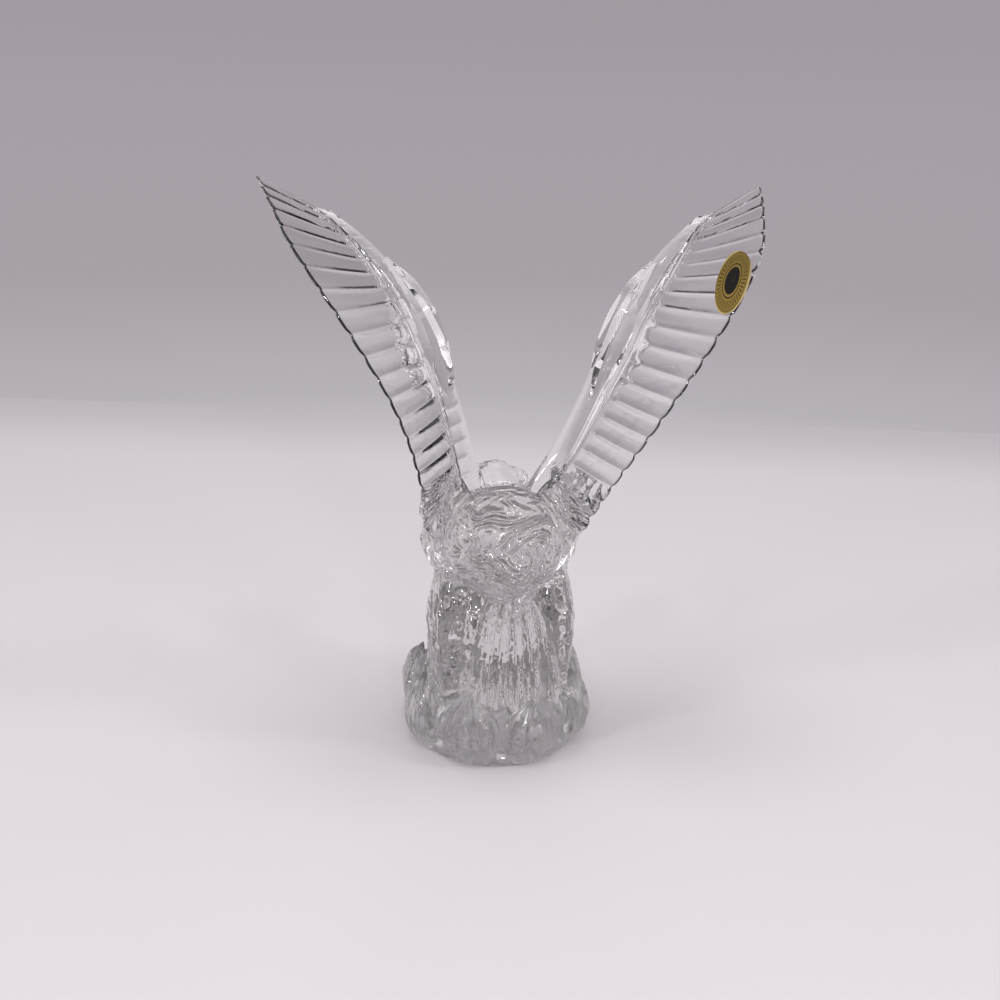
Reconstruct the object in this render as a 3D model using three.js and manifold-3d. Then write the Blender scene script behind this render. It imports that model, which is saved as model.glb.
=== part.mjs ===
// Crystal eagle figurine with raised wings, on a low mound of leaves.
// Millimetres, +Z up, +Y towards the eagle's chest. The origin is the centre of the underside.
import * as THREE from 'three';
import { mergeVertices } from 'three/addons/utils/BufferGeometryUtils.js';
import Module from 'manifold-3d';

const wasm = await Module();
wasm.setup();

// Driving sizes
const HEIGHT = 180;              // table to wing tip
const BASE_RADIUS = 27.5;        // mound, at the table
const BASE_HEIGHT = 23;
const BASE_CHAMFER = 1.2;        // ground edge of the underside
const LEAVES = 8;                // pointed leaves round the mound
const LEAF_RELIEF = 3;
const FEATHERS = 20;             // flight feathers of one wing
const VANE_INNER = 5.2;          // glass thickness beside the wing bone
const VANE_OUTER = 3.4;          // glass thickness near the feather tips
const RIB_HEIGHT = 0.8;          // how far a feather's crown stands over its grooves
const SCALLOP = 1.2;             // how far a feather's tip stands past the groove beside it
const TAIL_FEATHERS = 5;
const TAIL_RELIEF = 1.1;
const SEAL_WIDTH = 10.6;         // foil seal stuck on the right wing
const SEAL_LENGTH = 19.6;
const SEAL_THICKNESS = 0.4;
const SEAL_GAP = 0.3;

// The figure is a free form: its points and half widths are hundredths of its height.
const share = (value) => (value * HEIGHT) / 100;
const at = (x, y, z) => new THREE.Vector3(share(x), share(y), share(z));

const Y = new THREE.Vector3(0, 1, 0);
const Z = new THREE.Vector3(0, 0, 1);

const glass = new THREE.MeshStandardMaterial({
  color: 0xe9eaee, roughness: 0.03, metalness: 0, transparent: true, opacity: 0.35,
});
const foil = new THREE.MeshStandardMaterial({ color: 0xb49a52, roughness: 0.35, metalness: 0.8 });

const curveThrough = (points) => new THREE.CatmullRomCurve3(points, false, 'centripetal');

// Value of an evenly spaced list of numbers at a share from 0 to 1, smoothed between its entries
function along(values, s) {
  const place = THREE.MathUtils.clamp(s, 0, 1) * (values.length - 1);
  const index = Math.min(Math.floor(place), values.length - 2);
  const rest = THREE.MathUtils.smoothstep(place - index, 0, 1) * 0.4 + (place - index) * 0.6;
  return THREE.MathUtils.lerp(values[index], values[index + 1], rest);
}

// Joins the doubled corners of a closed geometry, then moves each to the place that a function gives
function warp(shape, place) {
  shape.deleteAttribute('normal');
  shape.deleteAttribute('uv');
  const geometry = mergeVertices(shape);
  const position = geometry.attributes.position;
  const v = new THREE.Vector3();
  for (let i = 0; i < position.count; i += 1) {
    v.fromBufferAttribute(position, i);
    v.copy(place(v.clone()));
    position.setXYZ(i, v.x, v.y, v.z);
  }
  return geometry;
}

// Closed limb along a line: half widths and half depths follow the line, and facing is its depth side
function limb({ line, width, depth, facing, around = 10, steps = 10, ridge = () => 0 }) {
  const curve = curveThrough(line);
  const facingAt = typeof facing === 'function' ? facing : () => facing;
  return warp(new THREE.CylinderGeometry(1, 1, 1, around, steps), (v) => {
    const s = v.y + 0.5;
    const centre = curve.getPoint(s);
    const tangent = curve.getTangent(s).normalize();
    const side = tangent.clone().cross(facingAt(s)).normalize();
    const front = side.clone().cross(tangent).normalize();
    const turn = Math.atan2(v.x, v.z);
    const radial = Math.hypot(v.x, v.z);
    const swell = radial * (1 + ridge(turn, s));
    return centre
      .addScaledVector(side, Math.sin(turn) * swell * along(width, s))
      .addScaledVector(front, Math.cos(turn) * swell * along(depth, s));
  });
}

// Egg with its long axis along forward
function egg(centre, forward, length, width, height, around = 12, steps = 8) {
  const side = forward.clone().cross(Math.abs(forward.z) > 0.9 ? Y : Z).normalize();
  const up = side.clone().cross(forward).normalize();
  return warp(new THREE.SphereGeometry(1, around, steps), (v) => centre.clone()
    .addScaledVector(side, v.x * width)
    .addScaledVector(forward, v.y * length)
    .addScaledVector(up, v.z * height));
}

function solid(geometry) {
  const vertProperties = new Float32Array(geometry.attributes.position.array);
  const triVerts = new Uint32Array(geometry.index.array);
  return new wasm.Manifold(new wasm.Mesh({ numProp: 3, vertProperties, triVerts }));
}

const fuse = (geometries) => geometries.map(solid).reduce((whole, piece) => whole.add(piece));

function meshOf(name, shape, material) {
  const { vertProperties, triVerts } = shape.getMesh();
  const geometry = new THREE.BufferGeometry();
  geometry.setAttribute('position', new THREE.BufferAttribute(vertProperties, 3));
  geometry.setIndex(new THREE.BufferAttribute(triVerts, 1));
  geometry.computeVertexNormals();
  const mesh = new THREE.Mesh(geometry, material);
  mesh.name = name;
  return mesh;
}

// Wing: leading and trailing outline of the right wing before it leans, root to tip
const LEADING = curveThrough([
  at(3.8, -2.2, 46.7), at(8.2, -2.8, 57.1), at(12.6, -3.3, 69.7), at(17.2, -3.9, 81),
  at(23.2, -3.9, 88.8), at(29.9, -3.6, 94.2), at(39.3, -3.6, 100.2),
]);
const TRAILING = curveThrough([
  at(13.2, -12.6, 43.6), at(15.6, -17.8, 53.5), at(20.6, -23.9, 67.2), at(26.9, -25.3, 78.9),
  at(31.5, -24.8, 86.8), at(34.6, -21.8, 91.8), at(37, -15.4, 96.4), at(39.4, -6, 99.9),
]);
const WRIST_FEATHER = 0.6;       // share of the feathers below the wrist
const WRIST = 0.56;              // share of the leading edge below the wrist
const LAST_ROOT = 0.8;           // where on the leading edge the last feather starts
const LEAN = share(2.4);         // both wings sway to the eagle's right between foot and tip
const WING_FOOT = share(46.7);
const CAMBER = share(1.5);
const SEGMENTS = 3;              // facets across a feather
const BONE_HALF = [3.4, 2.5, 2.2, 2.1, 1.9, 1.5, 1.1].map(share);
const BONE_BACK = 0.3;           // where across the wing the thick leading part ends

// Share of the leading edge where a feather starts: the outer ones fan out from the wrist
function featherRoot(u) {
  if (u < WRIST_FEATHER) return (u / WRIST_FEATHER) * WRIST;
  return THREE.MathUtils.mapLinear(u, WRIST_FEATHER, 1, WRIST, LAST_ROOT);
}

// Middle surface of the right wing: u from root to tip, v from the leading to the trailing edge
function wingPoint(u, v) {
  const root = LEADING.getPointAt(THREE.MathUtils.clamp(featherRoot(u), 0, 1));
  const tip = TRAILING.getPointAt(THREE.MathUtils.clamp(u, 0, 1));
  const point = root.lerp(tip, v);
  point.y -= CAMBER * Math.sin(Math.PI * v) * Math.min(1, 3 * (1 - u) + 0.2);
  return point;
}

function wingNormal(u, v) {
  const step = 0.02;
  const up = wingPoint(Math.min(u + step, 1), v).sub(wingPoint(Math.max(u - step, 0), v));
  const out = wingPoint(u, Math.min(v + step, 1)).sub(wingPoint(u, Math.max(v - step, 0)));
  return up.cross(out).normalize();
}

// Rise of a feather's rounded crown over its grooves, 0 to 1
const crownAt = (u) => Math.sqrt(Math.max(0, Math.sin(Math.PI * ((u * FEATHERS) % 1))));

// Half thickness of the wing without its ribs: a rounded bone in front, a thin vane behind
function vaneHalf(u, v) {
  const vaneBody = THREE.MathUtils.lerp(VANE_INNER, VANE_OUTER, v) / 2;
  const nose = Math.sqrt(Math.min(1, 0.06 + v / (0.5 * BONE_BACK)));
  const bone = along(BONE_HALF, u) * nose;
  const blend = THREE.MathUtils.smoothstep(v, 0.35 * BONE_BACK, BONE_BACK);
  const edge = 1 - 0.45 * THREE.MathUtils.smoothstep(v, 0.86, 1);
  return THREE.MathUtils.lerp(Math.max(bone, vaneBody * nose), vaneBody, blend) * edge;
}

// Mirrors a point of the right wing for the left one, and leans it with the height
function leaned(point, side) {
  const rise = THREE.MathUtils.clamp((point.z - WING_FOOT) / (HEIGHT - WING_FOOT), 0, 1);
  const sway = LEAN * Math.sin(Math.PI * rise) ** 0.85;
  return new THREE.Vector3(side * point.x + sway, point.y, point.z);
}

function handed(geometry, side) {
  const position = geometry.attributes.position;
  const v = new THREE.Vector3();
  for (let i = 0; i < position.count; i += 1) {
    v.fromBufferAttribute(position, i);
    v.copy(leaned(v, side));
    position.setXYZ(i, v.x, v.y, v.z);
  }
  if (side > 0) return geometry;
  const index = geometry.index.array;
  for (let i = 0; i < index.length; i += 3) {
    const second = index[i + 1];
    index[i + 1] = index[i + 2];
    index[i + 2] = second;
  }
  return geometry;
}

function vane() {
  const rows = [0, 0.04, 0.14, 0.3, 0.6, 0.87, 1];
  const sheet = new THREE.BoxGeometry(1, 1, 1, FEATHERS * SEGMENTS, rows.length - 1, 1);
  return warp(sheet, (corner) => {
    const u = corner.x + 0.5;
    const row = Math.round((corner.y + 0.5) * (rows.length - 1));
    const v = rows[row];
    const groove = RIB_HEIGHT * THREE.MathUtils.smoothstep(v, 0.12, 0.35) * (1 - crownAt(u));
    const tipward = wingPoint(u, 1).sub(wingPoint(u, 0.9)).normalize();
    const reach = row === rows.length - 1 ? SCALLOP * (crownAt(u) - 1) : 0;
    return wingPoint(u, v)
      .addScaledVector(tipward, reach)
      .addScaledVector(wingNormal(u, v), 2 * corner.z * (vaneHalf(u, v) - groove));
  });
}

// Feather share whose root lies at a share of the leading edge
function featherAt(edge) {
  if (edge < WRIST) return (edge / WRIST) * WRIST_FEATHER;
  return Math.min(1, THREE.MathUtils.mapLinear(edge, WRIST, LAST_ROOT, WRIST_FEATHER, 1));
}

// A line inside the wing beside its leading edge, set in by a distance that follows the line
function besideEdge(from, to, count, setIn) {
  const points = [];
  for (let i = 0; i <= count; i += 1) {
    const s = i / count;
    const edge = THREE.MathUtils.lerp(from, to, s);
    const inward = wingPoint(featherAt(edge), 0.5).sub(LEADING.getPointAt(edge)).normalize();
    points.push(LEADING.getPointAt(edge).addScaledVector(inward, along(setIn, s)));
  }
  return points;
}

// Long pointed covert lying over the wing bone below the wrist
function wristLeaf() {
  return limb({
    line: besideEdge(0.28, 0.62, 4, [5, 4.6, 3.4, 2.4].map(share)),
    width: [0.2, 1.8, 2.4, 1.8, 0.3].map(share),
    depth: [1.4, 3.2, 3.6, 3.2, 1.6].map(share),
    facing: (s) => wingNormal(featherAt(THREE.MathUtils.lerp(0.28, 0.62, s)), 0.3),
    around: 8,
    steps: 8,
  });
}

function wing(side) {
  return [vane(), wristLeaf()].map((piece) => handed(piece, side));
}

// Body: the round rump, a trunk that dips forward to the chest, and the neck stretched out ahead
function rump() {
  return egg(at(-0.3, -13.8, 42.4), Y, share(9.7), share(9.7), share(9.6), 18, 10);
}

function trunk() {
  return limb({
    line: [
      at(-0.3, -16.7, 43.2), at(-0.2, -12.2, 42.6), at(0, -6.7, 40.3), at(0, -1.1, 38), at(0, 4.4, 36.1),
      at(0, 9.4, 36.3), at(0, 13.3, 38.3), at(0, 16.7, 40.6), at(0, 19.4, 41.7),
    ],
    width: [5, 9.4, 12.4, 13.9, 13.3, 11.1, 7.5, 5.3, 4.2].map(share),
    depth: [5, 8.6, 9, 9.2, 8.6, 7.4, 5.8, 5, 4.2].map(share),
    facing: Z,
    around: 18,
    steps: 12,
  });
}

function chest() {
  return egg(at(0, 8, 33), at(0, 0.35, 1).normalize(), share(10), share(9.6), share(7.6));
}

function shoulder(side) {
  const centre = at(side * 8.9 + 0.3, -4.5, 43);
  return egg(centre, at(side * 0.35, -0.3, 1).normalize(), share(9), share(5), share(6.5));
}

// Head, turned to the eagle's right, with hooked beak, brow and eyes
const HEAD = at(0.4, 19, 41.4);
const GAZE = new THREE.Vector3(0.74, 0.66, -0.12).normalize();
const CHEEK = GAZE.clone().cross(Z).normalize();

const fromHead = (ahead, side, up) => HEAD.clone()
  .addScaledVector(GAZE, share(ahead))
  .addScaledVector(CHEEK, share(side))
  .addScaledVector(Z, share(up));

function beak() {
  return limb({
    line: [fromHead(3.2, 0, 0.3), fromHead(6, 0, 0.6), fromHead(8.2, 0, -0.1), fromHead(9, 0, -2.6)],
    width: [2.6, 2.1, 1.4, 0.25].map(share),
    depth: [2.8, 2.2, 1.5, 0.25].map(share),
    facing: Z,
    around: 8,
    steps: 7,
  });
}

function brow(side) {
  return limb({
    line: [fromHead(-1.2, side * 3.1, 2), fromHead(1.8, side * 3.2, 2.6), fromHead(4.8, side * 1.7, 1.7)],
    width: [0.4, 1.2, 0.4].map(share),
    depth: [0.3, 0.9, 0.4].map(share),
    facing: Z,
    around: 6,
    steps: 4,
  });
}

const eye = (side) => egg(fromHead(2.6, side * 3.4, 1), GAZE, share(0.9), share(0.7), share(0.8), 8, 6);

function head() {
  const skull = egg(HEAD, GAZE, share(5.5), share(4.5), share(4.7));
  return [skull, beak(), brow(1), brow(-1), eye(1), eye(-1)];
}

// Legs: feathered thighs down the back of the rock, shanks and gripping toes in front
function thigh(side) {
  return limb({
    line: [at(side * 8, -6, 36), at(side * 9, -8.2, 27), at(side * 9.3, -8.8, 19), at(side * 9, -8.5, 12)],
    width: [3.2, 3.9, 3.4, 2].map(share),
    depth: [4.5, 5.4, 4.6, 2.4].map(share),
    facing: Y,
    around: 10,
    steps: 8,
    ridge: (turn) => 0.07 * Math.cos(5 * turn),
  });
}

function shank(side) {
  return limb({
    line: [at(side * 6, 4.5, 32), at(side * 5.7, 7, 28), at(side * 5.3, 8.5, 24)],
    width: [4.2, 3, 1.9].map(share),
    depth: [4.6, 3.2, 2].map(share),
    facing: Y,
    around: 10,
    steps: 6,
  });
}

function toe(side, spread) {
  const root = at(side * 5.3 + spread * 0.25, 8.6, 24.9);
  return limb({
    line: [
      root, at(side * 5.3 + spread * 0.8, 11.8, 25.4), at(side * 5.3 + spread, 13.9, 22.8),
      at(side * 5.3 + spread, 13.9, 19.6),
    ],
    width: [1.4, 1.3, 1.1, 0.2].map(share),
    depth: [1.5, 1.4, 1.1, 0.2].map(share),
    facing: Y.clone().add(Z).normalize(),
    around: 6,
    steps: 6,
  });
}

function foot(side) {
  return [-3, 0, 3].map((spread) => toe(side, spread));
}

// Tail: a short fan let down behind the rock, a little to the eagle's right
const TAIL_TOP = at(1, -17.5, 35);
const TAIL_FOOT = at(2.6, -15.2, 10.5);
const TAIL_HALF_TOP = share(2.4);
const TAIL_HALF_FOOT = share(8.6);
const TAIL_THICKNESS = share(5);

function tail() {
  const steps = 5;
  const fan = new THREE.BoxGeometry(1, 1, 1, TAIL_FEATHERS * SEGMENTS, 1, steps);
  return warp(fan, (corner) => {
    const drop = 0.5 - corner.z;
    const across = 2 * corner.x;
    const crown = Math.abs(Math.sin(Math.PI * (corner.x + 0.5) * TAIL_FEATHERS));
    const half = THREE.MathUtils.lerp(TAIL_HALF_TOP, TAIL_HALF_FOOT, Math.sqrt(drop));
    const centre = TAIL_TOP.clone().lerp(TAIL_FOOT, drop - 0.12 * drop * across * across);
    const bow = share(1.6) * (1 - across * across) + TAIL_RELIEF * crown;
    centre.x += half * across;
    centre.y += corner.y < 0 ? -bow : TAIL_THICKNESS;
    return centre;
  });
}

// Rock under the eagle: a cleft column that spreads into the mound of leaves
const ROCK_CLEFTS = 9;

function rock() {
  return limb({
    line: [at(0, 0, 3), at(0, -0.4, 10), at(0, -1, 17), at(0, -1.2, 23.5), at(0, -1.5, 27)],
    width: [13, 12.2, 11.2, 10.6, 8].map(share),
    depth: [14, 14, 13.6, 12.6, 9].map(share),
    facing: Y,
    around: 3 * ROCK_CLEFTS,
    steps: 6,
    ridge: (turn, s) => 0.035 * Math.cos(ROCK_CLEFTS * turn + 4 * s),
  });
}

const backFill = () => egg(at(0, -6.5, 24), Z, share(14), share(10.3), share(8.8));

// Outline of the mound: a circle at the back, drawn out a little in front
function moundRadius(turn, swell) {
  const stretch = 1 + 0.14 * Math.max(0, Math.cos(turn)) ** 2;
  return BASE_RADIUS * swell * stretch;
}

function mound() {
  const rises = [0.2, 0.4, 0.57, 0.75, 1].map((rise) => rise * BASE_HEIGHT);
  const levels = [0, BASE_CHAMFER, ...rises];
  const swells = [0.96, 1, 1.03, 1, 0.94, 0.87, 0.72];
  const facets = 6;
  const shape = new THREE.CylinderGeometry(1, 1, 1, LEAVES * facets, levels.length - 1);
  return warp(shape, (v) => {
    const row = Math.round((v.y + 0.5) * (levels.length - 1));
    const turn = Math.atan2(v.x, v.z);
    const radial = Math.hypot(v.x, v.z);
    const s = levels[row] / BASE_HEIGHT;
    const offset = Math.abs((((turn / (2 * Math.PI)) * LEAVES + LEAVES) % 1) - 0.5) * 2;
    const halfLeaf = Math.sqrt(Math.max(0, 1 - s));
    const inside = Math.max(0, 1 - (offset / Math.max(halfLeaf, 0.01)) ** 2);
    const relief = row === 0 ? 0 : LEAF_RELIEF * (Math.sqrt(inside) - 0.6);
    const reach = radial * (moundRadius(turn, swells[row]) + relief);
    return new THREE.Vector3(-Math.sin(turn) * reach, Math.cos(turn) * reach, levels[row]);
  });
}

function eagle() {
  return fuse([
    mound(), rock(), backFill(), rump(), trunk(), chest(), tail(), ...head(),
    shoulder(1), shoulder(-1), thigh(1), thigh(-1), shank(1), shank(-1),
    ...foot(1), ...foot(-1), ...wing(1), ...wing(-1),
  ]);
}

// Foil seal: an oval plate that follows the rear face of the right wing, just clear of its feathers
const SEAL_U = 0.678;            // place of its centre on the wing
const SEAL_V = 0.86;
const SEAL_TURN = THREE.MathUtils.degToRad(18);

// Share steps over the wing that move a point by a short offset in its tangent plane
function sharesOf(offset) {
  const step = 0.01;
  const centre = wingPoint(SEAL_U, SEAL_V);
  const du = wingPoint(SEAL_U + step, SEAL_V).sub(centre).divideScalar(step);
  const dv = wingPoint(SEAL_U, SEAL_V + step).sub(centre).divideScalar(step);
  const spread = du.dot(du) * dv.dot(dv) - du.dot(dv) ** 2;
  const u = (offset.dot(du) * dv.dot(dv) - offset.dot(dv) * du.dot(dv)) / spread;
  const v = (offset.dot(dv) * du.dot(du) - offset.dot(du) * du.dot(dv)) / spread;
  return [SEAL_U + u, SEAL_V + v];
}

function seal() {
  const normal = wingNormal(SEAL_U, SEAL_V);
  const upright = Z.clone().addScaledVector(normal, -Z.dot(normal)).normalize();
  upright.applyAxisAngle(normal, -SEAL_TURN);
  const level = upright.clone().cross(normal).normalize();
  const plate = new THREE.CylinderGeometry(1, 1, 1, 28, 1);
  return warp(plate, (corner) => {
    const [u, v] = sharesOf(level.clone().multiplyScalar((corner.x * SEAL_WIDTH) / 2)
      .addScaledVector(upright, (corner.z * SEAL_LENGTH) / 2));
    const lift = vaneHalf(u, Math.min(v, 0.86)) + SEAL_GAP + (corner.y > 0 ? SEAL_THICKNESS : 0);
    return leaned(wingPoint(u, v).addScaledVector(wingNormal(u, v), -lift), 1);
  });
}

const figurine = new THREE.Group();
figurine.add(
  meshOf('crystal_eagle', eagle(), glass),
  meshOf('foil_seal', solid(seal()), foil),
);

export default figurine;
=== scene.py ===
# %% [markdown]
# A crystal eagle on a mound of leaves. The real one is cast in one piece of clear glass and then
# polished, so it has no joints and no paint: what the eye reads is the light that the ribs of the
# feathers and the leaves bend. The solids of the frame give its size and its main forms. This
# script dresses them with finer carving, makes the glass and the gold seal, and lights the scene.

# %% Open the frame and keep its parts
import math

import bpy
import numpy as np
from mathutils import Matrix, Vector, noise


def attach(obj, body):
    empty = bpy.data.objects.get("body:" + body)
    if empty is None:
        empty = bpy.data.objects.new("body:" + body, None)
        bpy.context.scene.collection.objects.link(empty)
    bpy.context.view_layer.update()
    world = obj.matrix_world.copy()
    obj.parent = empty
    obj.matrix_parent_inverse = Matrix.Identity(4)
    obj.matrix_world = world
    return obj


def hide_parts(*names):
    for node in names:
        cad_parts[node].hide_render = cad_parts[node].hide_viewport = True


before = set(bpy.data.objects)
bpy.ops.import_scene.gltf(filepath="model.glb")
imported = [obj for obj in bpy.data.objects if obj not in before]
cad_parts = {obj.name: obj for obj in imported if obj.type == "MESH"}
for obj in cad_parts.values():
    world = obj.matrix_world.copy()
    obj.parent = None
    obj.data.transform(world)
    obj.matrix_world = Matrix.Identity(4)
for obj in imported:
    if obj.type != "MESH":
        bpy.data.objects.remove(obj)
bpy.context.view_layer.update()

# %% [markdown]
# The camera comes first, because every later choice is judged through it. It stands a little
# above the figure's middle and behind its back, turned a few degrees, as the photographer stood.

# %% Camera at the photograph's angle
AZIMUTH = math.radians(-5.5)
TILT = math.radians(20)
ROLL = math.radians(1.6)
DISTANCE = 0.33
CAMERA_HEIGHT = 0.201

cam_data = bpy.data.cameras.new("camera")
cam_data.lens = 39.6
cam_data.sensor_width = 36
camera = bpy.data.objects.new("camera", cam_data)
bpy.context.scene.collection.objects.link(camera)
bpy.context.scene.camera = camera

ahead = Vector((-math.sin(AZIMUTH) * math.cos(TILT), math.cos(AZIMUTH) * math.cos(TILT), -math.sin(TILT)))
right = Vector((math.cos(AZIMUTH), math.sin(AZIMUTH), 0))
up = right.cross(ahead)
right_rolled = right * math.cos(ROLL) + up * math.sin(ROLL)
up_rolled = up * math.cos(ROLL) - right * math.sin(ROLL)
turned = Matrix((right_rolled, up_rolled, -ahead)).transposed()
place = Vector((DISTANCE * math.sin(AZIMUTH), -DISTANCE * math.cos(AZIMUTH), CAMERA_HEIGHT))
camera.matrix_world = Matrix.Translation(place) @ turned.to_4x4()
print("camera stands at, mm:", [round(v * 1000) for v in place])

# %% [markdown]
# The figure is a free form, so most of its points are given as hundredths of its height, which is
# how a carver would step them off with dividers. Two small helpers turn them into metres.

# %% Measures
HEIGHT = 0.18
BASE_RADIUS = 0.0275
BASE_HEIGHT = 0.023
LEAVES = 8
FEATHERS = 20


def share(value):
    """Hundredths of the height, in metres."""
    return value * HEIGHT / 100


def at(x, y, z):
    return np.array([share(x), share(y), share(z)])


def shares(values):
    return [share(v) for v in values]


print("one hundredth of the height is", share(1) * 1000, "mm")

# %% [markdown]
# Wings, necks and toes all follow a bent line. A curve through a few points is enough: it is
# measured along its length once, and each piece then asks it for places along the way. A list of
# half widths is read the same way, so a limb swells and thins smoothly.

# %% Lines to build along


class Line:
    """A smooth line through points, read by share of its points or by share of its length."""

    def __init__(self, points):
        knots = np.array(points, float)
        knots = np.vstack([2 * knots[0] - knots[1], knots, 2 * knots[-1] - knots[-2]])
        pieces = []
        count = len(points) - 1
        for i in range(count):
            p0, p1, p2, p3 = knots[i:i + 4]
            gaps = [max(np.linalg.norm(b - a), 1e-9) ** 0.5 for a, b in ((p0, p1), (p1, p2), (p2, p3))]
            start = (p1 - p0) / gaps[0] - (p2 - p0) / (gaps[0] + gaps[1]) + (p2 - p1) / gaps[1]
            end = (p2 - p1) / gaps[1] - (p3 - p1) / (gaps[1] + gaps[2]) + (p3 - p2) / gaps[2]
            start, end = start * gaps[1], end * gaps[1]
            t = np.linspace(0, 1, 120, endpoint=i == count - 1)[:, None]
            bend = (2 * p1 - 2 * p2 + start + end) * t ** 3
            pieces.append(p1 + start * t + (3 * p2 - 3 * p1 - 2 * start - end) * t ** 2 + bend)
        self.points = np.vstack(pieces)
        steps = np.linalg.norm(np.diff(self.points, axis=0), axis=1)
        self.length = np.concatenate([[0], np.cumsum(steps)]) / steps.sum()
        self.share = np.linspace(0, 1, len(self.points))

    def point(self, s):
        return np.stack([np.interp(s, self.share, self.points[:, k]) for k in range(3)], axis=-1)

    def by_length(self, s):
        return self.point(np.interp(s, self.length, self.share))

    def direction(self, s):
        step = self.point(np.clip(s + 0.01, 0, 1)) - self.point(np.clip(s - 0.01, 0, 1))
        return unit(step)


def unit(v):
    return v / np.maximum(np.linalg.norm(v, axis=-1, keepdims=True), 1e-12)


def smooth(low, high, v):
    """0 below low, 1 above high, and a soft step between them."""
    t = np.clip((v - low) / (high - low), 0, 1)
    return t * t * (3 - 2 * t)


def along(values, s):
    """A value read from an evenly spaced list at a share of its way, rounded between its entries."""
    spot = np.clip(s, 0, 1) * (len(values) - 1)
    index = np.minimum(np.floor(spot), len(values) - 2).astype(int)
    rest = spot - index
    rest = 0.4 * smooth(0, 1, rest) + 0.6 * rest
    values = np.array(values)
    return values[index] * (1 - rest) + values[index + 1] * rest


print("a line through three points is", len(Line([at(0, 0, 0), at(1, 0, 1), at(3, 0, 1)]).points), "steps")

# %% [markdown]
# Every lump of the figure starts as a ball with rings and segments, like a lump of clay. The rings
# are then laid along the piece and the segments run around it. One helper adds the ball, hands its
# points to a small recipe and turns the faces outward again. Limbs use that helper; eggs add their own ball and turn
# its faces outward the same way.

# %% Shaping a ball


def deselect():
    bpy.ops.object.select_all(action="DESELECT")


def read_points(piece):
    co = np.empty(len(piece.data.vertices) * 3)
    piece.data.vertices.foreach_get("co", co)
    return co.reshape(-1, 3)


def write_points(piece, points):
    piece.data.vertices.foreach_set("co", np.ascontiguousarray(points, float).ravel())
    piece.data.update()


def face_outward(piece):
    deselect()
    bpy.context.view_layer.objects.active = piece
    piece.select_set(True)
    bpy.ops.object.mode_set(mode="EDIT")
    bpy.ops.mesh.select_all(action="SELECT")
    bpy.ops.mesh.normals_make_consistent(inside=False)
    bpy.ops.object.mode_set(mode="OBJECT")


def shaped_ball(name, segments, rings, recipe):
    """Adds a ball and moves its points: s runs from end to end, turn runs around, full is 0 at the poles."""
    deselect()
    bpy.ops.mesh.primitive_uv_sphere_add(segments=segments, ring_count=rings, radius=1)
    piece = bpy.context.active_object
    piece.name = name
    co = read_points(piece)
    ring = np.rint(np.arccos(np.clip(co[:, 2], -1, 1)) / np.pi * rings)
    spoke = np.rint(np.arctan2(co[:, 1], co[:, 0]) / (2 * np.pi) * segments) % segments
    full = ((ring > 0) & (ring < rings)).astype(float)
    s = np.clip((ring - 1) / (rings - 2), 0, 1)
    write_points(piece, recipe(s, spoke / segments * 2 * np.pi, full))
    face_outward(piece)
    return piece


X_AXIS, Y_AXIS, Z_AXIS = np.eye(3)


def limb(name, line, width, depth, facing, around=24, steps=30, ridge=None):
    """A closed limb along a line. Width and depth are half sizes, and facing is its depth side."""
    curve = Line(line)

    def recipe(s, turn, full):
        ahead_here = curve.direction(s)
        side = unit(np.cross(ahead_here, facing))
        front = np.cross(side, ahead_here)
        swell = full * (1 + (ridge(turn, s) if ridge else 0))
        across = (np.sin(turn) * swell * along(width, s))[:, None]
        outward = (np.cos(turn) * swell * along(depth, s))[:, None]
        return curve.point(s) + side * across + front * outward

    return shaped_ball(name, around, steps, recipe)


def egg(name, centre, forward, length, width, height, around=32, steps=20):
    """An egg whose long axis lies along forward."""
    forward = unit(np.array(forward, float))
    side = unit(np.cross(forward, Y_AXIS if abs(forward[2]) > 0.9 else Z_AXIS))
    upward = np.cross(side, forward)
    deselect()
    bpy.ops.mesh.primitive_uv_sphere_add(segments=around, ring_count=steps, radius=1)
    piece = bpy.context.active_object
    piece.name = name
    co = read_points(piece)
    moved = centre + co[:, :1] * side * width + co[:, 2:] * forward * length + co[:, 1:2] * upward * height
    write_points(piece, moved)
    face_outward(piece)
    return piece


print("helpers ready")

# %% [markdown]
# The wings are the heart of the piece. Each is a thick glass vane between a leading edge, inside
# the V, and a trailing edge swept back towards the viewer. Its flight feathers are rounded ribs
# with sharp grooves between them, and each ends in a rounded tip that stands past its neighbours.
# The vane is one ball: its rings run up the wing and its segments go round the blade's section.

# %% Outline of a wing
LEADING = Line([
    at(3.8, -2.2, 46.7), at(8.2, -2.8, 57.1), at(12.6, -3.3, 69.7), at(17.2, -3.9, 81),
    at(23.2, -3.9, 88.8), at(29.9, -3.6, 94.2), at(39.3, -3.6, 100.2),
])
TRAILING = Line([
    at(13.2, -12.6, 43.6), at(15.6, -17.8, 53.5), at(20.6, -23.9, 67.2), at(26.9, -25.3, 78.9),
    at(31.5, -24.8, 86.8), at(34.6, -21.8, 91.8), at(37, -15.4, 96.4), at(39.4, -6, 99.9),
])
WRIST_FEATHER = 0.6
WRIST = 0.56
LAST_ROOT = 0.8
CAMBER = share(1.5)
LEAN = share(2.4)
WING_FOOT = share(46.7)


def feather_root(u):
    """Where on the leading edge a feather starts: the outer ones fan out from the wrist."""
    below = u / WRIST_FEATHER * WRIST
    above = WRIST + (u - WRIST_FEATHER) / (1 - WRIST_FEATHER) * (LAST_ROOT - WRIST)
    return np.clip(np.where(u < WRIST_FEATHER, below, above), 0, 1)


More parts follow.
